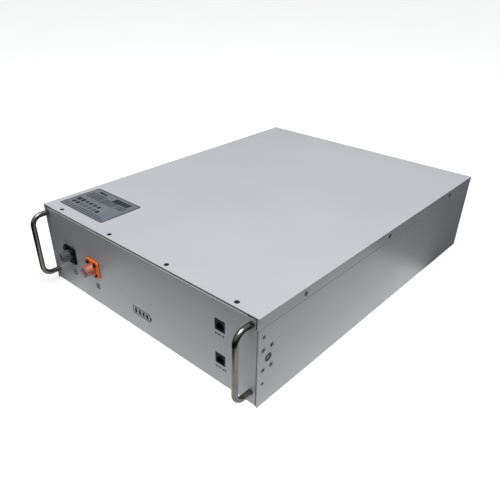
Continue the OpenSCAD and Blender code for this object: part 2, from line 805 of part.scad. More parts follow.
// Row of switching transistors under the heatsink
module bms_transistors() {
    pitch = heatsink_len / transistor_count;
    color([0.12, 0.12, 0.13]) for (i = [0:transistor_count - 1])
        block([heatsink_x0 + (i + 0.5) * pitch - 5, heatsink_y0 + 9, bms_board_z + board_t + 0.05],
              [heatsink_x0 + (i + 0.5) * pitch + 5, heatsink_y0 + 19, bms_board_z + board_t + transistor_h]);
}

// Extruded bar with upright fins
module bms_heatsink() {
    base_z = bms_board_z + board_t + transistor_h + 0.1;
    pitch = (heatsink_w - fin_t) / (fin_count - 1);
    color("darkgrey") translate([heatsink_x0, heatsink_y0, base_z]) {
        cube([heatsink_len, heatsink_w, heatsink_base]);
        for (i = [0:fin_count - 1]) translate([0, i * pitch, heatsink_base - eps])
            cube([heatsink_len, fin_t, fin_h]);
    }
}

// Hexagonal spacers: four behind the front panel, four on the management tray
module board_standoffs() {
    post_r = 3;
    color("gold") {
        for (x = comms_post_x, z = comms_post_z) place([x, jack_back_y + 0.05, z], FRONT) difference() {
            cylinder(h = jack_back_y - panel_back_y - 0.1, r = post_r, $fn = 6);
            translate([0, 0, -1]) cylinder(h = 30, r = m3_hole_r);
        }
        for (post = bms_posts)
            place([post[0], post[1], bms_deck_z + 1.55], UP) difference() {
                cylinder(h = bms_board_z - bms_deck_z - 1.6, r = post_r, $fn = 6);
                translate([0, 0, -1]) cylinder(h = 30, r = m3_hole_r);
            }
    }
}

module board_screws() {
    color("silver") {
        for (x = comms_post_x, z = comms_post_z)
            place([x, jack_back_y + 0.1 + comms_t, z], REAR) pan_screw(m3_head_r, m3_head_h, m3_r, 8);
        for (post = bms_posts)
            place([post[0], post[1], bms_board_z + board_t], UP) pan_screw(m3_head_r, m3_head_h, m3_r, 6);
    }
}

// Four-terminal shunt: two blocks joined by a thin resistance strip
module current_shunt() {
    color("peru") translate([-64, bms_y1 - 15, shunt_z + 0.05]) {
        cube([16, shunt_w, 4]);
        translate([16 - eps, 2, 1]) cube([12 + 2 * eps, shunt_w - 4, 2]);
        translate([28, 0, 0]) cube([16, shunt_w, 4]);
    }
}

// ---------- power path ----------

// Bolted fuse whose end tabs sit on studs, on two insulating posts fixed to the front end plate
module main_fuse() {
    tab_back_y = link_y - link_t / 2 - fit_gap;
    tab_t = 2;
    color("ivory") {
        block([fuse_x0 + 26, link_y - 18, fuse_z - 11], [fuse_x0 + fuse_len - 26, link_y + 1, fuse_z + 11]);
        for (side = [[fuse_x0 - 8, fuse_x0 + 26 - fit_gap, fuse_x0],
                     [fuse_x0 + fuse_len - 26 + fit_gap, fuse_x0 + fuse_len + 8, fuse_x0 + fuse_len]])
            difference() {
                block([side[0], tab_back_y - tab_t, fuse_z - 8], [side[1], tab_back_y, fuse_z + 8]);
                place([side[2], link_y + 2, fuse_z], FRONT) cylinder(h = 10, r = lug_hole_r);
            }
        for (post = [[fuse_x0, link_y + link_t / 2 + fit_gap], [fuse_x0 + fuse_len, tab_back_y + fit_gap]]) {
            place([post[0], block_front_y - fit_gap, fuse_z], FRONT)
                cylinder(h = block_front_y - fit_gap - post[1], r = 8);
            place([post[0], post[1] + eps, fuse_z], FRONT) cylinder(h = post[1] - link_y + 14, r = stud_r);
        }
    }
}

// Bar from a row's first terminal, forward over the end plate and down its front
module main_link(x, foot_z, hole_z) {
    bar_z = end_plate_h + 1.2;
    difference() {
        union() {
            block([x - link_w / 2, link_y - link_t / 2, bar_z],
                  [x + link_w / 2, terminal_y + 9, bar_z + link_t]);
            block([x - link_w / 2, link_y - link_t / 2, foot_z],
                  [x + link_w / 2, link_y + link_t / 2, bar_z + eps]);
            place([x, terminal_y, busbar_z + fit_gap], UP) cylinder(h = bar_z + 0.1 - busbar_z, r = 7);
        }
        place([x, link_y + 5, hole_z], FRONT) cylinder(h = 10, r = lug_hole_r);
    }
}

module positive_link() {
    color("orangered") main_link(fuse_x0, fuse_z - 9, fuse_z);
}

// The negative bar goes on down and forward to the shunt
module negative_link() {
    foot_z = shunt_z + 4.1;
    color("peru") {
        main_link(-fuse_x0, foot_z, fuse_z);
        block([-fuse_x0 - link_w / 2, bms_y1 - shunt_w, foot_z],
              [-fuse_x0 + link_w / 2, link_y + eps, foot_z + link_t]);
    }
}

// Cable from the fuse to the positive receptacle, with a ring lug on each end
module positive_cable() {
    lug_y = link_y - link_t / 2 - 2.1;
    color("orange") {
        tube_along(positive_route, cable_r, cable_sides);
        place([fuse_x0 + fuse_len, lug_y, fuse_z], FRONT) ring_lug(7.5, lug_hole_r, 8);
        stud_lug(positive_x);
    }
}

module negative_cable() {
    color([0.1, 0.1, 0.11]) {
        tube_along(negative_route, cable_r, cable_sides);
        translate([-93, -205, 29.2]) rotate([0, 0, 180]) ring_lug(7.5, lug_hole_r, 12);
        stud_lug(negative_x);
    }
}

// Straight lug that stands on a receptacle's stud
module stud_lug(x) {
    lug_face_y = receptacle_rear_y + 9.1;
    color("silver") place([x, lug_face_y, receptacle_z], REAR) difference() {
        union() {
            cylinder(h = 2, r = 7.5);
            translate([0, 0, 2 - eps]) cylinder(h = 26 - 3.2, r1 = 7, r2 = cable_r + 0.6);
        }
        translate([0, 0, -1]) cylinder(h = 14, r = stud_r + fit_gap);
    }
}

// Plates that join each cell to the next, and one that joins the two rows at the back
module series_busbars() {
    color("silver") {
        for (side = [-1, 1], k = [0:row_cells - 2]) {
            outward = k % 2 == 0 ? 1 : -1;
            x = side * (row_x + outward * terminal_dx);
            block([x - busbar_w / 2, cell_y(k) - 9, busbar_z + fit_gap],
                  [x + busbar_w / 2, cell_y(k + 1) + 9, busbar_z + busbar_t]);
        }
        block([-(row_x - terminal_dx) - 9, cell_y(row_cells - 1) - busbar_w / 2, busbar_z + fit_gap],
              [row_x - terminal_dx + 9, cell_y(row_cells - 1) + busbar_w / 2, busbar_z + busbar_t]);
    }
}

// ---------- cell block ----------

// Prismatic cell: the first half run back along the left row, the rest come forward along the right
module cell(i) {
    k = i <= row_cells ? i - 1 : cell_count - i;
    x = i <= row_cells ? -row_x : row_x;
    color("royalblue") translate([x, cell_y(k), cell_z0]) difference() {
        union() {
            translate([-cell_w / 2, -cell_t / 2, 0]) cube([cell_w, cell_t, cell_can_h]);
            for (s = [-1, 1]) translate([s * terminal_dx, 0, cell_can_h - eps]) {
                cylinder(h = 1, r = terminal_r + 3);
                cylinder(h = terminal_h, r = terminal_r);
            }
        }
        translate([0, 0, cell_can_h - 0.6]) {
            translate([-12, -7, 0]) cube([24, 14, 2]);
            for (s = [-1, 1]) translate([s * 12, 0, 0]) cylinder(h = 2, r = 7);
        }
    }
}

// Insulating boards between neighbouring cells and between the two rows
module cell_spacers() {
    spacer_t = block_gap - 0.2;
    color("beige") {
        for (side = [-1, 1], k = [0:row_cells - 2])
            translate([side * row_x - cell_w / 2 + 2, cell_y(k) + cell_t / 2 + 0.1, cell_z0])
                cube([cell_w - 4, spacer_t, cell_can_h - 2]);
        block([-2, first_cell_y - cell_t / 2, cell_z0],
              [2, cell_y(row_cells - 1) + cell_t / 2, cell_z0 + cell_can_h - 2]);
    }
}

// Machined plate for one end of the block
module end_plate(y) {
    plate_half_w = block_half_w + 0.3;
    block([-plate_half_w, y, cell_z0], [plate_half_w, y + end_plate_t, end_plate_h]);
}

// The rear plate has ten weight-saving pockets in its outer face
module end_plates() {
    pocket = 4;
    color("silver") {
        end_plate(block_front_y);
        difference() {
            end_plate(block_back_y - end_plate_t);
            for (column = [-2:2], row = [0, 1])
                block([column * 62 - 25, block_back_y - pocket, 14 + row * 56],
                      [column * 62 + 25, block_back_y + 1, 56 + row * 56]);
        }
    }
}

// Angle rails down both sides of the block, which hold it to the floor
module clamp_rails() {
    rail_x = block_half_w + 0.5;
    foot_z = sheet + 0.1;
    color("grey") mirrored_pair() difference() {
        union() {
            block([rail_x, block_front_y, foot_z], [rail_x + rail_t, block_back_y, rail_h]);
            block([rail_x, block_front_y, foot_z], [rail_x + rail_foot, block_back_y, foot_z + rail_t]);
            for (y = [block_front_y + 60, 0, block_back_y - 60])
                block([rail_x, y - 2, foot_z], [rail_x + rail_foot - 6, y + 2, foot_z + 30]);
        }
        for (y = rail_screw_y()) place([rail_x + 14, y, 0], UP) cylinder(h = 6, r = 2.7);
    }
}

function rail_screw_y() = [for (k = [0:4]) block_front_y + 20 + k * (block_back_y - block_front_y - 40) / 4];

// Screws that hold the rails and the management tray to the floor
module pack_screws() {
    color("silver") {
        mirrored_pair() for (y = rail_screw_y())
            place([block_half_w + 14.5, y, sheet + 0.1 + rail_t], UP) pan_screw(4.6, 3, 2.5, rail_t + 0.05);
        for (x = [bms_x0 - 11, bms_x1 + 12], y = [bms_y0 + 10, bms_y1 - 10])
            place([x, y, sheet + 1.6], UP) pan_screw(3.8, 2.6, 2, 1.5);
    }
}

module floor_insulation() {
    color("wheat") block([-block_half_w, block_front_y + 1, sheet + 0.05],
                         [block_half_w, block_back_y - 1, sheet + floor_sheet_t]);
}

// Clear sheet over the busbars, on four feet that stand on the end plates
module busbar_cover() {
    foot_h = 3.4;
    color([0.8, 0.85, 0.9, 0.4]) difference() {
        union() {
            block([-block_half_w, block_front_y + 1, end_plate_h + foot_h],
                  [block_half_w, block_back_y, end_plate_h + foot_h + cover_sheet_t]);
            mirrored_pair() for (y = [block_front_y + 5, block_back_y - 4])
                place([150, y, end_plate_h + fit_gap], UP) cylinder(h = foot_h, r = 3);
        }
        for (sx = [-1, 1], y = [first_cell_y, cell_y(row_cells - 1)])
            place([sx * row_x, y, end_plate_h], UP) cylinder(h = 10, r = 4);
    }
}

// Flat sense strip along each row, with a tab to each busbar, and a tail that goes over the
// front end plate and down to its header on the management board
module sense_harness() {
    strip_w = 10;
    strip_t = 0.5;
    strip_z = cell_top_z + 0.1;
    plate_top = end_plate_h + 0.2;
    plate_back_y = block_front_y + end_plate_t + 0.1;
    tail_y = block_front_y - 1.1;
    header_z = bms_board_z + board_t + 7.2;
    reach = terminal_dx - terminal_r - 5;
    color("darkorange") for (side = [-1, 1]) translate([side < 0 ? -80.5 : 83.5, 0, 0]) {
        block([-strip_w / 2, plate_back_y, strip_z],
              [strip_w / 2, cell_y(row_cells - 1) + 10, strip_z + strip_t]);
        block([-strip_w / 2, plate_back_y, strip_z],
              [strip_w / 2, plate_back_y + strip_t, plate_top + strip_t]);
        block([-strip_w / 2, tail_y, plate_top], [strip_w / 2, plate_back_y + strip_t, plate_top + strip_t]);
        block([-strip_w / 2, tail_y, header_z], [strip_w / 2, tail_y + strip_t, plate_top + strip_t]);
        block([-strip_w / 2, bms_y1 - 8, header_z], [strip_w / 2, tail_y + strip_t, header_z + strip_t]);
        for (k = [0:row_cells - 2]) {
            outward = (k % 2 == 0 ? 1 : -1) * side;
            translate([outward > 0 ? 0 : -reach, cell_y(k) + cell_pitch / 2 - 2, strip_z])
                cube([reach, 4, strip_t]);
        }
    }
}

// Adhesive rating plate on the cover
module rating_label() {
    label_w = 111;
    label_d = 74.5;
    label_x = -152.8;
    label_back = 57.5;
    label_t = 0.2;
    color("slategrey") translate([label_x, front_y + label_back, case_h])
        linear_extrude(label_t) rounded_plate_2d(label_w, label_d, 4);
}

// ---------- nodes ----------

chassis_tray();
top_cover();
front_panel();
cover_front_screws();
cover_flange_screws();
front_panel_screws();
ear_rivet_nuts();
side_bushes();
handle_left();
handle_right();
handle_screws();
negative_receptacle();
positive_receptacle();
receptacle_pins();
receptacle_gaskets();
receptacle_screws();
negative_dust_cap();
positive_dust_cap();
data_jack_upper();
data_jack_lower();
jack_contacts();
comms_board();
comms_ribbon();
bms_tray();
bms_board();
bms_heatsink();
bms_transistors();
board_standoffs();
board_screws();
current_shunt();
main_fuse();
positive_cable();
negative_cable();
positive_link();
negative_link();
series_busbars();
cell_spacers();
end_plates();
clamp_rails();
pack_screws();
floor_insulation();
busbar_cover();
sense_harness();
rating_label();
for (i = [1:cell_count]) cell(i);
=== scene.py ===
"""Looks for the rack battery pack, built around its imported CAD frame.

Metres. +Z is up and the front faces -Y. Places come from the CAD nodes' boxes; sizes on the printed
marks are in millimetres, as MM says.
"""

import json
import math

import bmesh
import bpy
from mathutils import Matrix, Vector


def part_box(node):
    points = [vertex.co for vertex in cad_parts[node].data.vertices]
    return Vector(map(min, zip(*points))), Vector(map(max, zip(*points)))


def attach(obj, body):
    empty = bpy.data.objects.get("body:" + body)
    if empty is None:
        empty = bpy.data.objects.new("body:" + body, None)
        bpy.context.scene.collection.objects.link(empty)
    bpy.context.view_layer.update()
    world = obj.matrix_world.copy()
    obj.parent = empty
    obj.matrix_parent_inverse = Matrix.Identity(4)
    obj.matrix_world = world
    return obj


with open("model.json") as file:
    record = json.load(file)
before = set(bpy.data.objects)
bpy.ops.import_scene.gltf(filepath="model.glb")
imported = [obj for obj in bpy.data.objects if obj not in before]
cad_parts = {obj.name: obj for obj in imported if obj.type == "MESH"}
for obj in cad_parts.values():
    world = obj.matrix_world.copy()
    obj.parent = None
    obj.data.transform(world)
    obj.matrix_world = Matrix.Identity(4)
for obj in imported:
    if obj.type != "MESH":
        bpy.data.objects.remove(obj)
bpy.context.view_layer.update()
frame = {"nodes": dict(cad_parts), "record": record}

MM = 0.001
nodes = frame["nodes"]
scene = bpy.context.scene


# ---------- camera ----------

CAMERA_PLACE = (0.5014, -0.6274, 0.4634)
CAMERA_AZIMUTH = 42.36
CAMERA_ELEVATION = 32.72
CAMERA_ROLL = 0.34
CAMERA_LENS = 37.23
CAMERA_SHIFT = (0.0234, 0.0664)


def make_camera():
    data = bpy.data.cameras.new("camera")
    data.lens = CAMERA_LENS
    data.sensor_width = 36.0
    data.shift_x, data.shift_y = CAMERA_SHIFT
    data.clip_start = 0.01
    data.clip_end = 100.0
    camera = bpy.data.objects.new("camera", data)
    scene.collection.objects.link(camera)
    turn = Matrix.Rotation(math.radians(CAMERA_AZIMUTH), 4, "Z")
    tilt = Matrix.Rotation(math.radians(90 - CAMERA_ELEVATION), 4, "X")
    roll = Matrix.Rotation(math.radians(CAMERA_ROLL), 4, "Z")
    camera.matrix_world = Matrix.Translation(CAMERA_PLACE) @ turn @ tilt @ roll
    scene.camera = camera


# ---------- studio ----------

FLOOR_HALF = 30.0
FLOOR_DROP = 0.0003
FLOOR_GREY = 0.36
FLOOR_GLOW = 0.70
# Light of the dome, with its height from 0 straight down to 1 straight up
WORLD_ABOVE = (0.64, 0.65, 0.67)
ABOVE_HEIGHT = 0.85
WORLD_LEVEL = (0.30, 0.305, 0.31)
LEVEL_HEIGHT = 0.62
WORLD_BELOW = (0.03, 0.03, 0.032)
BELOW_HEIGHT = 0.52
# What the camera alone sees behind the floor
BACKDROP = (0.90, 0.90, 0.90)
KEY_SIZE = 1.6
KEY_PLACE = (0.36, -0.40, 2.1)
KEY_AIM = (0, 0, 0.1)
KEY_POWER = 56.0
# Reflector sheets beside the case: lowest and highest X and Y, and the light each gives back
REFLECTORS = {"reflector_front": ((-0.25, 0.40, -0.46, 0.21), 1.0),
              "reflector_back": ((-0.40, 0.16, 0.20, 0.46), 0.8)}
REFLECTOR_FADE = 0.10


def area_light(name, place, aim, size, power):
    data = bpy.data.lights.new(name, "AREA")
    data.shape = "SQUARE"
    data.size = size
    data.energy = power
    light = bpy.data.objects.new(name, data)
    scene.collection.objects.link(light)
    light.location = place
    light.rotation_mode = "QUATERNION"
    light.rotation_quaternion = (Vector(aim) - Vector(place)).to_track_quat("-Z", "Y")


def make_world():
    """A soft dome, lightest overhead and dark below, in front of a pale backdrop."""
    world = bpy.data.worlds.new("studio")
    world.use_nodes = True
    scene.world = world
    tree = world.node_tree
    place = tree.nodes.new("ShaderNodeTexCoord")
    split = tree.nodes.new("ShaderNodeSeparateXYZ")
    height = tree.nodes.new("ShaderNodeMapRange")
    height.inputs["From Min"].default_value = -1.0
    ramp = tree.nodes.new("ShaderNodeValToRGB")
    stops = ramp.color_ramp.elements
    stops[0].color, stops[0].position = (*WORLD_BELOW, 1.0), BELOW_HEIGHT
    stops[1].color, stops[1].position = (*WORLD_ABOVE, 1.0), ABOVE_HEIGHT
    level = stops.new(LEVEL_HEIGHT)
    level.color = (*WORLD_LEVEL, 1.0)
    path = tree.nodes.new("ShaderNodeLightPath")
    mix = tree.nodes.new("ShaderNodeMix")
    mix.data_type = "RGBA"
    colours = [socket for socket in mix.inputs if socket.type == "RGBA"]
    colours[1].default_value = (*BACKDROP, 1.0)
    tree.links.new(place.outputs["Generated"], split.inputs["Vector"])
    tree.links.new(split.outputs["Z"], height.inputs["Value"])
    tree.links.new(height.outputs["Result"], ramp.inputs["Fac"])
    tree.links.new(path.outputs["Is Camera Ray"], mix.inputs["Factor"])
    tree.links.new(ramp.outputs["Color"], colours[0])
    result = next(socket for socket in mix.outputs if socket.type == "RGBA")
    tree.links.new(result, tree.nodes["Background"].inputs["Color"])


def flat_sheet(name, x0, x1, y0, y1, z):
    mesh = bpy.data.meshes.new(name)
    mesh.from_pydata([(x0, y0, z), (x1, y0, z), (x1, y1, z), (x0, y1, z)], [], [(0, 1, 2, 3)])
    sheet = bpy.data.objects.new(name, mesh)
    scene.collection.objects.link(sheet)
    return sheet


def make_floor():
    """Lit white paper under the case, seen by the camera."""
    floor = flat_sheet("floor", -FLOOR_HALF, FLOOR_HALF, -FLOOR_HALF, FLOOR_HALF, -FLOOR_DROP)
    finish = Finish("floor_paper", (FLOOR_GREY,) * 3, 0.85, Emission_Color=(1.0, 1.0, 1.0, 1.0),
                    Emission_Strength=FLOOR_GLOW)
    finish.colour(finish.noise(3.0), (FLOOR_GREY - 0.01,) * 3, (FLOOR_GREY + 0.01,) * 3)
    floor.data.materials.append(finish.material)
    floor.visible_diffuse = False
    floor.visible_glossy = False
    floor.visible_transmission = False
    floor.visible_shadow = False


def make_reflector(name, edges, strength):
    """Sheet that lights the case's sides from below, fading out towards its edges."""
    x0, x1, y0, y1 = edges
    sheet = flat_sheet(name, x0, x1, y0, y1, -FLOOR_DROP / 2)
    finish = Finish(name, (0.0, 0.0, 0.0), 1.0, Emission_Color=(1.0, 1.0, 1.0, 1.0))
    total = None
    for axis, low, high in (("X", x0, x1), ("Y", y0, y1)):
        place = finish.axis(axis)
        for near, far in ((low, low + REFLECTOR_FADE), (high, high - REFLECTOR_FADE)):
            fade = finish.ranged(place, 0.0, 1.0, near, far)
            total = fade if total is None else finish.product(total, fade)
    finish.links.new(finish.ranged(total, 0.0, strength, 0.0, 1.0), finish.shader.inputs["Emission Strength"])
    sheet.data.materials.append(finish.material)
    sheet.visible_camera = False
    sheet.visible_shadow = False


# ---------- materials ----------


class Finish:
    """A Principled material whose colour, roughness and bump vary over the surface."""

    def __init__(self, name, colour, roughness, metallic=0.0, **constants):
        self.material = bpy.data.materials.new(name)
        self.material.use_nodes = True
        tree = self.material.node_tree
        self.nodes = tree.nodes
        self.links = tree.links
        self.shader = tree.nodes["Principled BSDF"]
        self.shader.inputs["Base Color"].default_value = (*colour, 1.0)
        self.shader.inputs["Roughness"].default_value = roughness
        self.shader.inputs["Metallic"].default_value = metallic
        for socket, value in constants.items():
            self.shader.inputs[socket.replace("_", " ")].default_value = value
        self.place = tree.nodes.new("ShaderNodeTexCoord").outputs["Object"]
        self.normal = None

    def stretched(self, stretch):
        mapping = self.nodes.new("ShaderNodeMapping")
        mapping.inputs["Scale"].default_value = stretch
        self.links.new(self.place, mapping.inputs["Vector"])
        return mapping.outputs["Vector"]

    def noise(self, scale, detail=3.0, stretch=(1.0, 1.0, 1.0), roughness=0.5):
        texture = self.nodes.new("ShaderNodeTexNoise")
        texture.inputs["Scale"].default_value = scale
        texture.inputs["Detail"].default_value = detail
        texture.inputs["Roughness"].default_value = roughness
        self.links.new(self.stretched(stretch), texture.inputs["Vector"])
        return texture.outputs["Fac"]

    def cells(self, scale):
        texture = self.nodes.new("ShaderNodeTexVoronoi")
        texture.inputs["Scale"].default_value = scale
        self.links.new(self.place, texture.inputs["Vector"])
        return texture.outputs["Distance"]

    def ranged(self, source, low, high, start=0.3, end=0.7):
        node = self.nodes.new("ShaderNodeMapRange")
        node.interpolation_type = "SMOOTHSTEP"
        node.inputs["From Min"].default_value = start
        node.inputs["From Max"].default_value = end
        node.inputs["To Min"].default_value = low
        node.inputs["To Max"].default_value = high
        self.links.new(source, node.inputs["Value"])
        return node.outputs["Result"]

    def mixed(self, factor, first, second):
        """Blend of two colours, each a socket or three numbers."""
        node = self.nodes.new("ShaderNodeMix")
        node.data_type = "RGBA"
        self.links.new(factor, node.inputs["Factor"])
        for name, value in (("A", first), ("B", second)):
            socket = next(s for s in node.inputs if s.name == name and s.type == "RGBA")
            if isinstance(value, tuple):
                socket.default_value = (*value, 1.0)
            else:
                self.links.new(value, socket)
        return next(s for s in node.outputs if s.type == "RGBA")

    def colour(self, source, first, second, start=0.3, end=0.7):
        mix = self.mixed(self.ranged(source, 0.0, 1.0, start, end), first, second)
        self.links.new(mix, self.shader.inputs["Base Color"])
        return mix

    def gloss(self, source, low, high, start=0.3, end=0.7):
        self.links.new(self.ranged(source, low, high, start, end), self.shader.inputs["Roughness"])

    def bump(self, source, depth, strength=1.0):
        node = self.nodes.new("ShaderNodeBump")
        node.inputs["Strength"].default_value = strength
        node.inputs["Distance"].default_value = depth
        self.links.new(source, node.inputs["Height"])
        if self.normal is not None:
            self.links.new(self.normal, node.inputs["Normal"])
        self.normal = node.outputs["Normal"]
        self.links.new(self.normal, self.shader.inputs["Normal"])

    def distance(self, centre, along):
        """Distance from a point, counted only along the axes where along is 1."""
        offset = self.nodes.new("ShaderNodeVectorMath")
        offset.operation = "SUBTRACT"
        offset.inputs[1].default_value = centre
        self.links.new(self.place, offset.inputs[0])
        flatten = self.nodes.new("ShaderNodeVectorMath")
        flatten.operation = "MULTIPLY"
        flatten.inputs[1].default_value = along
        self.links.new(offset.outputs["Vector"], flatten.inputs[0])
        length = self.nodes.new("ShaderNodeVectorMath")
        length.operation = "LENGTH"
        self.links.new(flatten.outputs["Vector"], length.inputs[0])
        return length.outputs["Value"]

    def product(self, first, second):
        node = self.nodes.new("ShaderNodeMath")
        node.operation = "MULTIPLY"
        self.links.new(first, node.inputs[0])
        self.links.new(second, node.inputs[1])
        return node.outputs["Value"]

    def axis(self, name):
        split = self.nodes.new("ShaderNodeSeparateXYZ")
        self.links.new(self.place, split.inputs["Vector"])
        return split.outputs[name]


def powder_coat(name, light, dark, low_gloss, high_gloss):
    """Fine orange-peel paint with faint clouding."""
    finish = Finish(name, light, high_gloss, Specular_IOR_Level=0.75)
    finish.colour(finish.noise(7.0, 4.0), dark, light)
    finish.gloss(finish.noise(9.0, 2.0), low_gloss, high_gloss)
    finish.bump(finish.noise(320.0, 2.0), 0.00004, 0.16)
    return finish.material


def case_paint():
    return powder_coat("case_paint", (0.352, 0.361, 0.378), (0.338, 0.347, 0.364), 0.29, 0.37)


# The case's powder coat, given a darker and greyer colour here as painted shade for the front panel's darker
# tone.
def front_paint():
    return powder_coat("front_paint", (0.325, 0.33, 0.338), (0.31, 0.315, 0.323), 0.29, 0.37)


def dark_screw():
    """Black oxide, rubbed paler where a driver has touched it."""
    finish = Finish("dark_screw", (0.012, 0.014, 0.024), 0.3, 0.4)
    finish.colour(finish.noise(900.0, 3.0), (0.009, 0.011, 0.020), (0.022, 0.025, 0.038))
    finish.gloss(finish.noise(600.0), 0.20, 0.36)
    finish.bump(finish.noise(2500.0), 0.00002, 0.5)
    return finish.material


def grey_screw():
    finish = Finish("grey_screw", (0.10, 0.10, 0.11), 0.4, 0.8)
    finish.colour(finish.noise(800.0, 3.0), (0.06, 0.06, 0.068), (0.14, 0.14, 0.15))
    finish.gloss(finish.noise(700.0), 0.3, 0.5)
    finish.bump(finish.noise(2500.0), 0.00002, 0.5)
    return finish.material


def zinc():
    """Bright zinc plate: small crystals and a faint warm tint."""
    finish = Finish("zinc", (0.62, 0.62, 0.61), 0.25, 1.0)
    finish.colour(finish.cells(500.0), (0.52, 0.52, 0.51), (0.70, 0.70, 0.68), 0.1, 0.7)
    finish.gloss(finish.noise(350.0), 0.16, 0.34)
    finish.bump(finish.noise(1800.0), 0.00002, 0.5)
    return finish.material


def insert_metal():
    """Plated inserts, darker than the paint around them: the dark colour is partly the plating's own dull
    tone and partly painted shade for the shade in their countersunk mouths.
    """
    finish = Finish("insert_metal", (0.17, 0.175, 0.18), 0.3, 1.0)
    finish.colour(finish.noise(600.0, 3.0), (0.13, 0.135, 0.14), (0.21, 0.215, 0.22))
    finish.gloss(finish.noise(500.0), 0.22, 0.38)
    finish.bump(finish.noise(2000.0), 0.00002, 0.5)
    return finish.material


def bush():
    """Dark ring with a worn, paler centre."""
    finish = Finish("bush", (0.06, 0.06, 0.065), 0.5, 0.3)
    low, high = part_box("side_bushes")
    middle = (low + high) / 2
    grain = finish.colour(finish.noise(500.0, 4.0), (0.035, 0.035, 0.038), (0.075, 0.075, 0.08))
    from_centre = finish.distance((middle.x, middle.y, middle.z), (0.0, 1.0, 1.0))
    core = finish.ranged(from_centre, 1.0, 0.0, 2.0 * MM, 2.8 * MM)
    finish.links.new(finish.mixed(core, grain, (0.20, 0.20, 0.21)), finish.shader.inputs["Base Color"])
    finish.gloss(finish.noise(420.0), 0.38, 0.6)
    finish.bump(finish.noise(1500.0), 0.00003, 0.6)
    return finish.material


def stainless():
    """Polished stainless rod: fine draw lines along it and slight handling haze. Its colour is set far darker
    than bare stainless, as painted shade for the dark surroundings it reflects.
    """
    finish = Finish("stainless", (0.17, 0.164, 0.155), 0.14, 1.0)
    finish.colour(finish.noise(60.0, 4.0), (0.145, 0.139, 0.130), (0.195, 0.189, 0.180))
    finish.gloss(finish.noise(45.0, 2.0), 0.09, 0.18)
    finish.bump(finish.noise(2600.0, 2.0, (1.0, 1.0, 0.05)), 0.000008, 0.5)
    return finish.material


def moulded(name, dark, light, low_gloss, high_gloss, grain=1600.0, **constants):
    """Moulded plastic with a fine spark-eroded grain."""
    finish = Finish(name, light, high_gloss, **constants)
    finish.colour(finish.noise(90.0, 3.0), dark, light)
    finish.gloss(finish.noise(160.0, 4.0), low_gloss, high_gloss)
    finish.bump(finish.noise(grain, 3.0), 0.00003, 0.45)
    return finish.material


def black_plastic():
    return moulded("black_plastic", (0.004, 0.004, 0.006), (0.007, 0.007, 0.010), 0.30, 0.44,
                   Specular_IOR_Level=0.08)


def orange_plastic():
    return moulded("orange_plastic", (0.93, 0.15, 0.012), (0.98, 0.19, 0.022), 0.29, 0.40)


def clear_plastic():
    """Frosted clear cap with faint flow marks."""
    finish = Finish("clear_plastic", (0.66, 0.66, 0.70), 0.2, IOR=1.06, Transmission_Weight=0.95,
                    Coat_Weight=0.12, Coat_Roughness=0.2)
    finish.colour(finish.noise(120.0, 3.0), (0.66, 0.66, 0.72), (0.72, 0.72, 0.78))
    finish.gloss(finish.noise(260.0, 2.0, (1.0, 0.25, 1.0)), 0.26, 0.36)
    finish.bump(finish.noise(900.0, 2.0, (1.0, 0.3, 1.0)), 0.00002, 0.3)
    return finish.material


def tin():
    finish = Finish("tin", (0.72, 0.72, 0.70), 0.25, 1.0)
    finish.colour(finish.noise(300.0), (0.66, 0.66, 0.64), (0.76, 0.76, 0.74))
    finish.gloss(finish.noise(500.0), 0.18, 0.35)
    finish.bump(finish.noise(2000.0), 0.00001, 0.5)
    return finish.material


def seal():
    return moulded("seal", (0.02, 0.02, 0.022), (0.035, 0.035, 0.038), 0.6, 0.8, 1100.0)


def gold():
    finish = Finish("gold", (0.83, 0.60, 0.25), 0.2, 1.0)
    finish.colour(finish.noise(900.0), (0.78, 0.55, 0.22), (0.88, 0.66, 0.30))
    finish.gloss(finish.noise(900.0), 0.14, 0.28)
    finish.bump(finish.noise(3000.0), 0.00001, 0.4)
    return finish.material


def board():
    """Green solder mask with a fine pattern of tracks under it."""
    finish = Finish("board", (0.012, 0.10, 0.035), 0.3, Coat_Weight=0.4, Coat_Roughness=0.15)
    tracks = finish.cells(160.0)
    finish.colour(tracks, (0.010, 0.080, 0.028), (0.022, 0.150, 0.052), 0.25, 0.45)
    finish.gloss(finish.noise(200.0), 0.25, 0.4)
    finish.bump(tracks, 0.00004, 0.5)
    return finish.material


def ribbon():
    """Flat cable: parallel wires across its width."""
    finish = Finish("ribbon", (0.30, 0.32, 0.35), 0.45)
    wires = finish.nodes.new("ShaderNodeTexWave")
    wires.inputs["Scale"].default_value = 250.0
    finish.links.new(finish.place, wires.inputs["Vector"])
    finish.colour(wires.outputs["Fac"], (0.20, 0.21, 0.23), (0.36, 0.38, 0.41), 0.1, 0.6)
    finish.gloss(finish.noise(300.0), 0.38, 0.55)
    finish.bump(wires.outputs["Fac"], 0.0002, 0.8)
    return finish.material


def metal(name, dark, light, low_gloss, high_gloss, stretch=(1.0, 1.0, 1.0), grain=700.0):
    """Plain worked metal with directional grain."""
    finish = Finish(name, light, high_gloss, 1.0)
    lines = finish.noise(grain, 4.0, stretch)
    finish.colour(lines, dark, light)
    finish.gloss(finish.noise(90.0, 4.0), low_gloss, high_gloss)
    finish.bump(lines, 0.00003, 0.5)
    return finish.material


def heatsink():
    return metal("heatsink", (0.34, 0.35, 0.37), (0.46, 0.47, 0.49), 0.32, 0.45, (0.05, 1.0, 1.0))


def chip():
    return moulded("chip", (0.012, 0.012, 0.013), (0.022, 0.022, 0.024), 0.5, 0.7, 2200.0)


def brass():
    return metal("brass", (0.60, 0.43, 0.17), (0.72, 0.53, 0.24), 0.22, 0.36)


def copper():
    return metal("copper", (0.66, 0.30, 0.16), (0.80, 0.42, 0.26), 0.24, 0.40, (1.0, 1.0, 0.08))


def ceramic():
    return moulded("ceramic", (0.66, 0.63, 0.56), (0.76, 0.74, 0.68), 0.35, 0.55, 800.0)


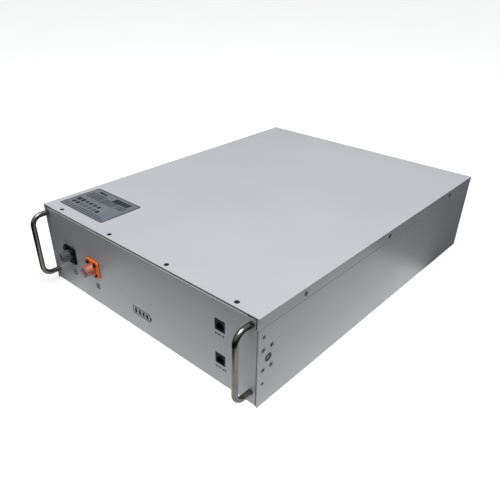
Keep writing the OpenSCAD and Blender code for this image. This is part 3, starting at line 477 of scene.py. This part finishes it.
def jacket(name, dark, light):
    """Silicone cable jacket, slightly dusty."""
    finish = Finish(name, light, 0.55, Sheen_Weight=0.15)
    finish.colour(finish.noise(60.0, 5.0, roughness=0.7), dark, light)
    finish.gloss(finish.noise(120.0, 4.0), 0.45, 0.65)
    finish.bump(finish.noise(1300.0, 3.0), 0.00004, 0.5)
    return finish.material


def orange_cable():
    return jacket("orange_cable", (0.70, 0.12, 0.008), (0.86, 0.18, 0.02))


def black_cable():
    return jacket("black_cable", (0.012, 0.012, 0.014), (0.03, 0.03, 0.033))


def aluminium():
    return metal("aluminium", (0.62, 0.63, 0.65), (0.74, 0.75, 0.77), 0.26, 0.42, (0.06, 1.0, 1.0))


def insulation():
    """Glass laminate with a woven look."""
    finish = Finish("insulation", (0.60, 0.50, 0.30), 0.6)
    weave = finish.cells(900.0)
    finish.colour(weave, (0.52, 0.43, 0.24), (0.66, 0.57, 0.36), 0.1, 0.6)
    finish.gloss(finish.noise(250.0), 0.5, 0.7)
    finish.bump(weave, 0.00005, 0.5)
    return finish.material


def polycarbonate():
    """Clear sheet with light scuffs."""
    finish = Finish("polycarbonate", (0.90, 0.93, 0.96), 0.12, IOR=1.58, Transmission_Weight=0.9)
    finish.colour(finish.noise(20.0), (0.86, 0.90, 0.94), (0.94, 0.96, 0.98))
    finish.gloss(finish.noise(180.0, 6.0, roughness=0.75), 0.06, 0.30)
    finish.bump(finish.noise(600.0), 0.00002, 0.3)
    return finish.material


def flex():
    """Polyimide strip with copper lines under it."""
    finish = Finish("flex", (0.42, 0.16, 0.03), 0.3, Coat_Weight=0.5, Coat_Roughness=0.2)
    lines = finish.noise(900.0, 2.0, (1.0, 0.02, 0.02))
    finish.colour(lines, (0.34, 0.12, 0.02), (0.56, 0.24, 0.06))
    finish.gloss(finish.noise(300.0), 0.22, 0.38)
    finish.bump(lines, 0.00002, 0.5)
    return finish.material


def label():
    """Metallised film under a satin laminate."""
    finish = Finish("label", (0.11, 0.124, 0.144), 0.36, 0.1)
    finish.colour(finish.noise(35.0, 4.0), (0.098, 0.111, 0.129), (0.121, 0.136, 0.157))
    finish.gloss(finish.noise(90.0, 4.0), 0.30, 0.44)
    finish.bump(finish.noise(700.0, 2.0), 0.00002, 0.4)
    return finish.material


def cell_wrap():
    """Blue shrink film with soft wrinkles."""
    finish = Finish("cell_wrap", (0.015, 0.07, 0.36), 0.3, Coat_Weight=0.3, Coat_Roughness=0.2)
    finish.colour(finish.noise(18.0, 4.0), (0.012, 0.055, 0.30), (0.020, 0.085, 0.42))
    finish.gloss(finish.noise(70.0, 4.0), 0.24, 0.42)
    finish.bump(finish.noise(60.0, 3.0, (1.0, 1.0, 0.3)), 0.0002, 0.4)
    return finish.material


def panel_ink():
    """Screen-printed ink, a little uneven."""
    return moulded("panel_ink", (0.008, 0.010, 0.040), (0.016, 0.020, 0.060), 0.4, 0.6, 2600.0,
                  Specular_IOR_Level=0.12)


def label_ink():
    """Black ink on the rating plate."""
    return moulded("label_ink", (0.005, 0.006, 0.011), (0.011, 0.012, 0.018), 0.4, 0.6, 2600.0,
                  Specular_IOR_Level=0.12)


SLOT_FINISHES = [
    case_paint, front_paint, dark_screw, grey_screw, zinc, insert_metal, bush, stainless, black_plastic,
    orange_plastic, clear_plastic, tin, seal, gold, board, ribbon, heatsink, chip, brass, copper,
    ceramic, orange_cable, black_cable, aluminium, insulation, polycarbonate, flex, label, cell_wrap,
]


def dress_nodes():
    """Every CAD node gets the finish of its material slot."""
    finishes = {make.__name__: make() for make in SLOT_FINISHES}
    for part in frame["record"]["subparts"]:
        mesh = nodes[part["node"]].data
        mesh.materials.clear()
        mesh.materials.append(finishes[part["material_slot"]])


# ---------- edges ----------

WELD_REACH = 0.001 * MM
FLAT_LIMIT = math.radians(0.5)
SHARP = math.radians(35)

# Width of the rounding on each node's edges
EDGE_ROUNDING = {
    "top_cover": 0.5 * MM,
    "front_panel": 0.35 * MM,
    "chassis_tray": 0.35 * MM,
    "negative_receptacle": 0.35 * MM,
    "positive_receptacle": 0.35 * MM,
    "negative_dust_cap": 0.3 * MM,
    "positive_dust_cap": 0.3 * MM,
    "data_jack_upper": 0.2 * MM,
    "data_jack_lower": 0.2 * MM,
    "side_bushes": 0.25 * MM,
    "ear_rivet_nuts": 0.2 * MM,
}
# Wide sheets whose flats are merged before rounding, so that the shading stays even across them
MERGED_FLATS = ("top_cover", "chassis_tray")


def round_edges():
    for name, width in EDGE_ROUNDING.items():
        node = nodes[name]
        weld = node.modifiers.new("weld", "WELD")
        weld.merge_threshold = WELD_REACH
        if name in MERGED_FLATS:
            flat = node.modifiers.new("flat", "DECIMATE")
            flat.decimate_type = "DISSOLVE"
            flat.angle_limit = FLAT_LIMIT
        bevel = node.modifiers.new("bevel", "BEVEL")
        bevel.width = width
        bevel.segments = 2
        bevel.limit_method = "ANGLE"
        bevel.angle_limit = SHARP
        bevel.use_clamp_overlap = True
        bevel.miter_outer = "MITER_ARC"
        bevel.harden_normals = True


# ---------- printed marks ----------

INK_SUNK = 0.02 * MM
INK_PROUD = 0.03 * MM
LABEL_INSET = 1.2 * MM
BATTERY_X = 6.2 * MM
BATTERY_Z = 34.8 * MM
POLARITY_SHIFT = 3 * MM
POLARITY_DROP = 31.2 * MM
PORT_SIGN_DROP = 13.6 * MM
# Bars that stand in for words, in millimetres
WORD_SHORTEST = 1.6
WORD_SPREAD = 2.9
WORD_GAP = 0.8
WORD_LEAST = 0.6


def bar(u, v, width, height):
    """Rectangle whose middle is at (u, v)."""
    return [(u - width / 2, v - height / 2), (u + width / 2, v - height / 2),
            (u + width / 2, v + height / 2), (u - width / 2, v + height / 2)]


def disc(u, v, radius, sides=20):
    turns = [2 * math.pi * k / sides for k in range(sides)]
    return [(u + radius * math.cos(a), v + radius * math.sin(a)) for a in turns]


def outline(u, v, width, height, line):
    """Four bars that frame a rectangle."""
    return [bar(u, v + (height - line) / 2, width, line), bar(u, v - (height - line) / 2, width, line),
            bar(u - (width - line) / 2, v, line, height - 2 * line),
            bar(u + (width - line) / 2, v, line, height - 2 * line)]


def marks(name, shapes, ink, corner, across, up, body="pack"):
    """Thin closed prints, one for each shape in millimetres, on the plane of across and up at corner."""
    across, up = Vector(across), Vector(up)
    out = across.cross(up)
    mesh = bpy.data.meshes.new(name)
    build = bmesh.new()
    for shape in shapes:
        rings = []
        for level in (-INK_SUNK, INK_PROUD):
            rings.append([build.verts.new(Vector(corner) + across * u * MM + up * v * MM + out * level)
                          for u, v in shape])
        low, high = rings
        count = len(shape)
        build.faces.new(high)
        build.faces.new(low[::-1])
        for k in range(count):
            build.faces.new((low[k], low[(k + 1) % count], high[(k + 1) % count], high[k]))
    build.to_mesh(mesh)
    build.free()
    piece = bpy.data.objects.new(name, mesh)
    scene.collection.objects.link(piece)
    mesh.materials.append(ink)
    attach(piece, body)


def text_rows(u0, v_top, width, rows, pitch, height, seed):
    """Rows of short bars, in place of lines of print."""
    shapes = []
    for row in range(rows):
        u = u0
        step = seed + row
        while u < u0 + width:
            length = WORD_SHORTEST + WORD_SPREAD * ((step * 7 + 3) % 5) / 4
            length = min(length, u0 + width - u)
            if length > WORD_LEAST:
                shapes.append(bar(u + length / 2, v_top - row * pitch, length, height))
            u += length + WORD_GAP
            step += 1
    return shapes


def label_print(ink):
    """Generic bars, squares and discs, in millimetres from the plate's front left corner."""
    low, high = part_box("rating_label")
    # A thin border, then a heading bar and the code strip opposite it
    shapes = outline(54.2, 36.2, 107.6, 71.2, 1.0)
    shapes += [bar(19, 64, 8, 5.0), bar(29.5, 63.2, 10, 3.6)]
    for k in range(19):
        shapes.append(bar(58.5 + k * 2.0, 60.5, 1.4 + 0.25 * (k % 3), 11.5))
    # Columns of fine print
    shapes += text_rows(6, 57, 37, 6, 2.9, 1.5, 1)
    shapes += text_rows(46, 54, 30, 6, 2.6, 1.4, 4)
    shapes += text_rows(80, 51, 21, 4, 2.6, 1.2, 2)
    # Two rows of symbols, bold at the left
    for k in range(6):
        u = 11 + k * 10.4
        bold = k < 2
        size = 8.2 if bold else 6.2
        if bold:
            shapes.append(bar(u, 28, size, size))
        else:
            shapes += outline(u, 28, size, size, 1.6)
            shapes.append(disc(u, 28, 1.4))
    for k in range(7):
        u = 12 + k * 10.2
        bold = k in (0, 1, 6)
        if bold:
            shapes.append(disc(u, 17.5, 3.8))
        else:
            shapes += outline(u, 17.5, 5.8, 5.8, 1.3)
    # Lines along the front edge
    shapes += text_rows(6, 9.4, 88, 1, 2.5, 1.4, 3)
    shapes += text_rows(6, 5.0, 97, 1, 2.5, 1.6, 5)
    corner = (low.x + LABEL_INSET, low.y + LABEL_INSET, high.z)
    marks("label_print", shapes, ink, corner, (1, 0, 0), (0, 1, 0))


def front_prints(ink):
    """Battery pictogram, polarity signs and port signs on the front panel."""
    low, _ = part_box("front_panel")
    plane = {"ink": ink, "across": (1, 0, 0), "up": (0, 0, 1)}
    battery_w, battery_h, line = 38.0, 13.4, 1.5
    shapes = outline(0, 0, battery_w, battery_h, line)
    shapes.append(bar(battery_w / 2 + 1.4, 0, 2.8, 5.4))
    for k in range(4):
        shapes.append(bar(-battery_w / 2 + 6.6 + k * 8.2, 0, 5.2, battery_h - 5.6))
    marks("battery_sign", shapes, corner=(BATTERY_X, low.y, BATTERY_Z), **plane)

    frame_side, frame_line, sign, stroke = 9.0, 1.8, 4.4, 1.5
    for name in ("negative", "positive"):
        a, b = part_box(name + "_receptacle")
        middle = (a + b) / 2
        shapes = outline(0, 0, frame_side, frame_side, frame_line) + [bar(0, 0, sign, stroke)]
        if name == "positive":
            arm = (sign - stroke) / 2
            shapes += [bar(0, (stroke + arm) / 2, stroke, arm), bar(0, -(stroke + arm) / 2, stroke, arm)]
        marks(name + "_sign", shapes,
              corner=(middle.x + POLARITY_SHIFT, low.y, middle.z - POLARITY_DROP), **plane)

    for count, name in enumerate(("upper", "lower"), start=1):
        a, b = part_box("data_jack_" + name)
        middle = (a + b) / 2
        arrow_u, arrow_half, arrow_tip, head_half = -3.4, 2.8, 5.8, 1.8
        shapes = [bar(arrow_u, 0, 2 * arrow_half, 1.5)]
        for side in (-1, 1):
            base_u = arrow_u + side * arrow_half
            head = [(base_u, -head_half), (base_u, head_half), (arrow_u + side * arrow_tip, 0)]
            shapes.append(head[::side])
        shapes += [bar(5.4 + 3.2 * k, 0, 2.0, 3.2) for k in range(count)]
        marks("port_sign_" + name, shapes, corner=(middle.x, low.y, middle.z - PORT_SIGN_DROP), **plane)


# ---------- build ----------

make_camera()
make_world()
make_floor()
for name, (edges, strength) in REFLECTORS.items():
    make_reflector(name, edges, strength)
area_light("key", KEY_PLACE, KEY_AIM, KEY_SIZE, KEY_POWER)
scene.view_settings.view_transform = "Standard"
dress_nodes()
round_edges()
label_print(label_ink())
front_prints(panel_ink())
